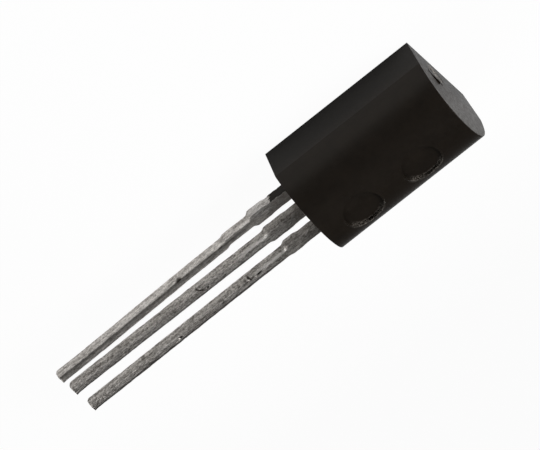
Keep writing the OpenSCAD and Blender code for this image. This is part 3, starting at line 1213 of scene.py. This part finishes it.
# %% Painted shade: dark lines and dark nicks
# The colour of the painted shade.
PAINTED_SHADE_COLOR = (0.07, 0.063, 0.056)
BASE_LEAN = 0.023      # how far the base lead leans to the side for each millimetre
BURR_INSET = 0.045     # from the side of the base lead to the inner edge of its burr
FAR_EDGES = ((0.215, 0), (PITCH + 0.19, 0.0065))     # Y at the shoulder, and lean
FAR_EDGE_REACH = 0.11

base_side_y = BASE_NARROW[1] + KINK_STEP - BASE_NARROW[0] / 2
burr_y = base_side_y + BURR_INSET - BASE_LEAN * (kink_x + KINK_LENGTH)
# Painted shadow of the burr: a dark line behind it.
behind_burr = calculate(tin, "ADD", lead_y, calculate(tin, "MULTIPLY", lead_x, -BASE_LEAN))
behind_burr = calculate(tin, "SUBTRACT", behind_burr, burr_y)
ragged = uneven(tin, 4, 0.02, stretch=(3, 1, 1))
behind_burr = calculate(tin, "ADD", behind_burr, ragged)
sharp_side = rescale(tin, behind_burr, 0, 0.03)
fading_side = rescale(tin, behind_burr, 0.05, 0.3, 0.6, 0)
painted_shade = calculate(tin, "MULTIPLY", sharp_side, fading_side)
# Painted shade along the far edges.
for edge_y, lean in FAR_EDGES:
    far_edge = edge_line(tin, lead_x, lead_y, edge_y, lean, FAR_EDGE_REACH)
    far_edge = calculate(tin, "MULTIPLY", far_edge, 0.7)
    painted_shade = calculate(tin, "MAXIMUM", painted_shade, far_edge)
past_shoulder = rescale(tin, lead_x, shoulder_x, shoulder_x + 0.5)
upper_side = rescale(tin, lead_z, parting + 0.08, parting + 0.13)
painted_shade = calculate(tin, "MULTIPLY", painted_shade, past_shoulder)
painted_shade = calculate(tin, "MULTIPLY", painted_shade, upper_side)
# Painted shade in each nick.
for _, place, size, turn in NICKS:
    grown = (size[0] * 1.2, size[1] * 2.1, 0.4)
    painted_shade = calculate(tin, "MAXIMUM", painted_shade, inside(tin, place, grown, turn))
tin_color = mix_colors(tin, painted_shade, tin_color, PAINTED_SHADE_COLOR)
print("tin, nodes with the dirt:", len(tin.node_tree.nodes))

# %% [markdown]
# The streaks and specks that colour the tin also set its roughness and its relief, so
# the pale places are the smooth ones.

# %% Sheen and skin of the tin
TIN_ROUGHNESS = (0.48, 0.33)   # of the dark and of the pale streaks
TIN_BUMP = 0.05

tin_gloss = rescale(tin, worked, 0.35, 0.65, *TIN_ROUGHNESS)
join_finish(tin, tin_shader, tin_color, tin_gloss, worked, TIN_BUMP)

# %% [markdown]
# ### What the case seals in
#
# Nobody sees the chip, its solder and the two wires until the case is opened or cut
# away, but they have their own finish all the same. The chip is polished silicon. Thin
# films on it give it a cloudy blue and violet, so slow noise goes from one to the other.

# %% Silicon
SILICON_COLORS = ((0.14, 0.16, 0.23), (0.24, 0.22, 0.26))

silicon, silicon_shader = new_material("silicon", Metallic=0.6)
cloud = rescale(silicon, grain(silicon, 3, detail=2), 0.35, 0.65)
silicon_color = mix_colors(silicon, cloud, *SILICON_COLORS)
polish = rescale(silicon, grain(silicon, 12), 0.3, 0.7, 0.1, 0.2)
join_finish(silicon, silicon_shader, silicon_color, polish, grain(silicon, 25), 0.001)

# %% [markdown]
# Solder is grey and sets in ripples. One noise gives the ripples their colour, their
# roughness and their relief, so that the three agree.

# %% Solder
SOLDER_COLORS = ((0.3, 0.3, 0.29), (0.55, 0.55, 0.53))

solder, solder_shader = new_material("solder", Metallic=1)
ripples = grain(solder, 14, detail=3)
solder_color = mix_colors(solder, ripples, *SOLDER_COLORS)
solder_gloss = rescale(solder, ripples, 0.3, 0.7, 0.35, 0.6)
join_finish(solder, solder_shader, solder_color, solder_gloss, ripples, 0.006)

# %% [markdown]
# The wires are gold, drawn through a die that leaves fine lines along them. They run
# mostly along X, so the grain is stretched that way.

# %% Gold wire
GOLD_COLORS = ((0.72, 0.46, 0.15), (0.88, 0.62, 0.25))

gold, gold_shader = new_material("gold_wire", Metallic=1)
drawn = grain(gold, 20, stretch=(6, 1, 1))
gold_color = mix_colors(gold, drawn, *GOLD_COLORS)
gold_gloss = rescale(gold, drawn, 0.3, 0.7, 0.18, 0.32)
join_finish(gold, gold_shader, gold_color, gold_gloss, drawn, 0.001)

# %% [markdown]
# ## Pieces and frame
#
# Each finished piece is shrunk to metres, gets its material, rides on the part's one
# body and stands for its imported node. The chip, its solder and the wires already have
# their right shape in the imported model, so they only get a material.

# %% Finished pieces take their place
def finish_piece(piece, material, *nodes, slot):
    """Shrinks a piece to metres, gives it its material, sets it on the root body and hides the
    nodes it stands for.
    """
    only(piece)
    piece.scale = (MM, MM, MM)
    bpy.ops.object.transform_apply(location=True, rotation=True, scale=True)
    piece.data.materials.clear()
    piece.data.materials.append(material)
    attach(piece, "root")
    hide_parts(*nodes)
    print(piece.name, "replaces", *nodes)


finish_piece(case, compound, "case", slot="moulding_compound")
finish_piece(lead_emitter, tin, "lead_emitter", slot="tinned_lead")
finish_piece(lead_collector, tin, "lead_collector", slot="tinned_lead")
finish_piece(lead_base, tin, "lead_base", slot="tinned_lead")

for node, material, slot in (
    ("die", silicon, "silicon"),
    ("die_attach", solder, "solder"),
    ("bond_wire_emitter", gold, "bond_wire"),
    ("bond_wire_base", gold, "bond_wire"),
):
    sealed = frame["nodes"][node]
    sealed.data.materials.clear()
    sealed.data.materials.append(material)
    print(node, "keeps its shape and gets", material.name)

# %% [markdown]
# ## Floor, light and camera
#
# Black plastic shows mostly what it mirrors. The part lies on a white table under a
# dark ceiling, with pale walls low down: the table gives the case its broad soft
# sheen, and the ceiling keeps the crown black. On the far side the table falls into
# shade, which keeps the far rim of the crown dark too, and towards the tips of the
# leads it is lit a little less. The table is a hair's breadth below the case's flat,
# because two surfaces in one plane would flicker.

# %% White table
FLOOR_SIZE = 6                 # metres
FLOOR_GAP = 0.02 * MM
TABLE_COLOR = (0.72, 0.72, 0.72)
SHADED_COLOR = (0.1, 0.1, 0.1)
FAR_SIDE = (4, 12)             # Y where the shade begins and where it is full
FAR_SHARE = 0.1                # of the light that is left there
TIPS = (4, 16)                 # X where the table begins to be lit less, and where it stops
TIPS_SHARE = 0.7

bpy.ops.object.select_all(action="DESELECT")
bpy.ops.mesh.primitive_plane_add(size=FLOOR_SIZE, location=(0, 0, -FLOOR_GAP))
floor = bpy.context.object
floor.name = "floor"

table = bpy.data.materials.new("white_table")
table.use_nodes = True
table.node_tree.nodes.clear()
floor_x, floor_y, _ = axes(table, place_in_mm(table))
far_light = rescale(table, floor_y, *FAR_SIDE, 1, FAR_SHARE)
tip_light = rescale(table, floor_x, *TIPS, 1, TIPS_SHARE)
lit = calculate(table, "MULTIPLY", far_light, tip_light)
diffuse = add_node(table, "ShaderNodeBsdfDiffuse")
join(table, mix_colors(table, lit, SHADED_COLOR, TABLE_COLOR), diffuse.inputs["Color"])
floor.data.materials.append(table)
print("table", FLOOR_SIZE, "m wide")

# %% [markdown]
# To the camera the table has to be plain white, and still hold the part's shadow. So
# most of what the camera sees of it is a white glow, and the rest is the lit surface.
# In reflections the share of glow is small, because the shade under the part counts
# there.

# %% White to the camera
WHITE_SHARE = 0.96             # glow in what the camera sees
MIRRORED_SHARE = 0.18          # glow in what the part mirrors

glow = add_node(table, "ShaderNodeEmission", Color=(1, 1, 1, 1), Strength=1)
ray = add_node(table, "ShaderNodeLightPath").outputs
seen = calculate(table, "MAXIMUM", ray["Is Camera Ray"], ray["Is Transmission Ray"])
seen = calculate(table, "MULTIPLY", seen, WHITE_SHARE)
mirrored = calculate(table, "MULTIPLY", ray["Is Glossy Ray"], lit)
mirrored = calculate(table, "MULTIPLY", mirrored, MIRRORED_SHARE)
surface = add_node(table, "ShaderNodeMixShader")
join(table, calculate(table, "ADD", mirrored, seen), surface.inputs[0])
join(table, diffuse.outputs[0], surface.inputs[1])
join(table, glow.outputs[0], surface.inputs[2])
output = add_node(table, "ShaderNodeOutputMaterial")
join(table, surface.outputs[0], output.inputs["Surface"])
print("white_table has", len(table.node_tree.nodes), "nodes")

# %% [markdown]
# The room is the world's background. Its walls are pale low down, brightest on the -Y
# side, and above them is a dark ceiling that is a little lighter on that side too.

# %% Walls and ceiling
WALL_HEIGHT = (0.12, 0.24)     # Z of a direction where the wall ends and the ceiling begins
WALL_SIDES = (-0.6, 0.6)       # Y of a direction for each of the next two
WALL_LIGHT = (1.75, 0.1)
CEILING_SIDES = (-0.7, 0.1)
CEILING_LIGHT = (0.165, 0.097)

world = bpy.data.worlds.new("studio")
bpy.context.scene.world = world
world.use_nodes = True
world.node_tree.nodes.clear()
direction = add_node(world, "ShaderNodeTexCoord")
_, sideways, upwards = axes(world, direction.outputs["Generated"])
walls = rescale(world, sideways, *WALL_SIDES, *WALL_LIGHT)
ceiling = rescale(world, sideways, *CEILING_SIDES, *CEILING_LIGHT)
room = add_node(world, "ShaderNodeMapRange", From_Min=WALL_HEIGHT[0], From_Max=WALL_HEIGHT[1])
join(world, upwards, room.inputs["Value"])
join(world, walls, room.inputs["To Min"])
join(world, ceiling, room.inputs["To Max"])
background = add_node(world, "ShaderNodeBackground")
join(world, room.outputs["Result"], background.inputs["Strength"])
world_output = add_node(world, "ShaderNodeOutputWorld")
join(world, background.outputs[0], world_output.inputs["Surface"])
print("studio has", len(world.node_tree.nodes), "nodes")

# %% [markdown]
# Two large soft lamps, one beyond each end of the part, brighten the plain end, the
# upper sides of the leads and the worn edges. Both aim at the origin.

# %% Two soft lamps
LAMP_SIZE = 0.42               # metres across, and the places below are in metres too


def soft_lamp(name, place, power):
    """A round area lamp that aims at the origin."""
    light = bpy.data.lights.new(name, "AREA")
    light.shape = "DISK"
    light.size = LAMP_SIZE
    light.energy = power
    lamp = bpy.data.objects.new(name, light)
    bpy.context.scene.collection.objects.link(lamp)
    lamp.location = place
    lamp.rotation_euler = (-Vector(place)).to_track_quat("-Z", "Y").to_euler()
    print(name, power, "W")


soft_lamp("lamp_behind", (-0.4, 0.05, 0.27), 3.3)
soft_lamp("lamp_ahead", (0.4, 0.08, 0.27), 1.3)

# %% [markdown]
# The camera looks down along the part from far away with a very long lens, which keeps
# its edges nearly parallel. It is turned about its own axis, so the part lies aslant.

# %% Camera
LENS = 1200            # millimetres, and so is the sensor's width
SENSOR = 36
VIEW_WIDTH = 20.64     # millimetres of the part across the frame
forward = Vector((0.1608, 0.7252, -0.6695)).normalized()
up = Vector((-0.6109, -0.4596, -0.6446)).normalized()
aim = Vector((4.954, -0.970, 1.993)) * MM

camera_data = bpy.data.cameras.new("camera")
camera_data.sensor_width = SENSOR
camera_data.lens = LENS
camera = bpy.data.objects.new("camera", camera_data)
bpy.context.scene.collection.objects.link(camera)
bpy.context.scene.camera = camera
distance = VIEW_WIDTH * MM * LENS / SENSOR
camera.location = aim - forward * distance
right = forward.cross(up).normalized()
true_up = right.cross(forward)
camera.rotation_euler = Matrix((right, true_up, -forward)).transposed().to_euler()
print(f"camera {distance:.2f} m away")

bpy.context.scene.view_settings.view_transform = "Standard"
